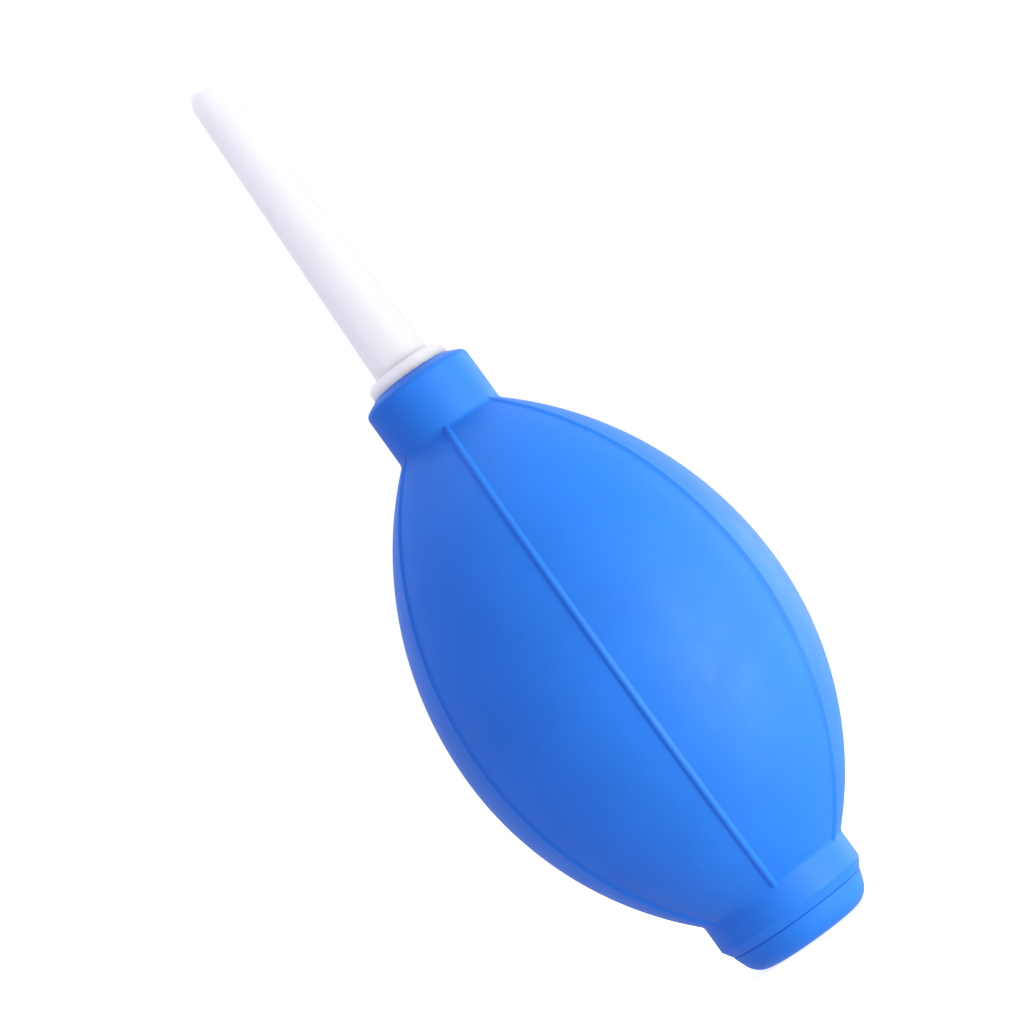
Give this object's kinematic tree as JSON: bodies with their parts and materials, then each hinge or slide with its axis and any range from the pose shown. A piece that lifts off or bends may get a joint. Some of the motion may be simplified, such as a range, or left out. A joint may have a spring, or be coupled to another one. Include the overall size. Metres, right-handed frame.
{
  "type": "dust blower bulb",
  "caption": "Squeeze bulb air blower: ribbed hollow rubber bulb with a tapered plastic nozzle in its front collar and a stopper with a one-way inlet valve in its tail.",
  "frame": {"origin": "middle of the flat tail face that the blower stands on", "axes": "+Z along the blower from its tail to its nozzle tip; one rib of the bulb faces -Y"},
  "size_m": [0.055, 0.0558, 0.152],
  "materials": {
    "blue_rubber": "satin",
    "plug_rubber": "satin",
    "nozzle_plastic": "satin",
    "valve_plastic": "satin",
    "disc_rubber": "matte"
  },
  "bodies": {
    "bulb": {"bulb": "blue_rubber", "tail_plug": "plug_rubber", "valve_seat": "valve_plastic", "valve_cage": "valve_plastic"},
    "nozzle": {"nozzle": "nozzle_plastic"},
    "valve_disc": {"valve_disc": "disc_rubber"}
  },
  "joints": [
    {"name": "nozzle_turn", "type": "hinge", "parent": "bulb", "child": "nozzle", "pos_m": [0, 0, 0.0992], "axis": [0, 0, 1], "continuous": true},
    {"name": "valve_lift", "type": "slide", "parent": "bulb", "child": "valve_disc", "axis": [0, 0, 1], "range_m": [0, 0.001]}
  ]
}
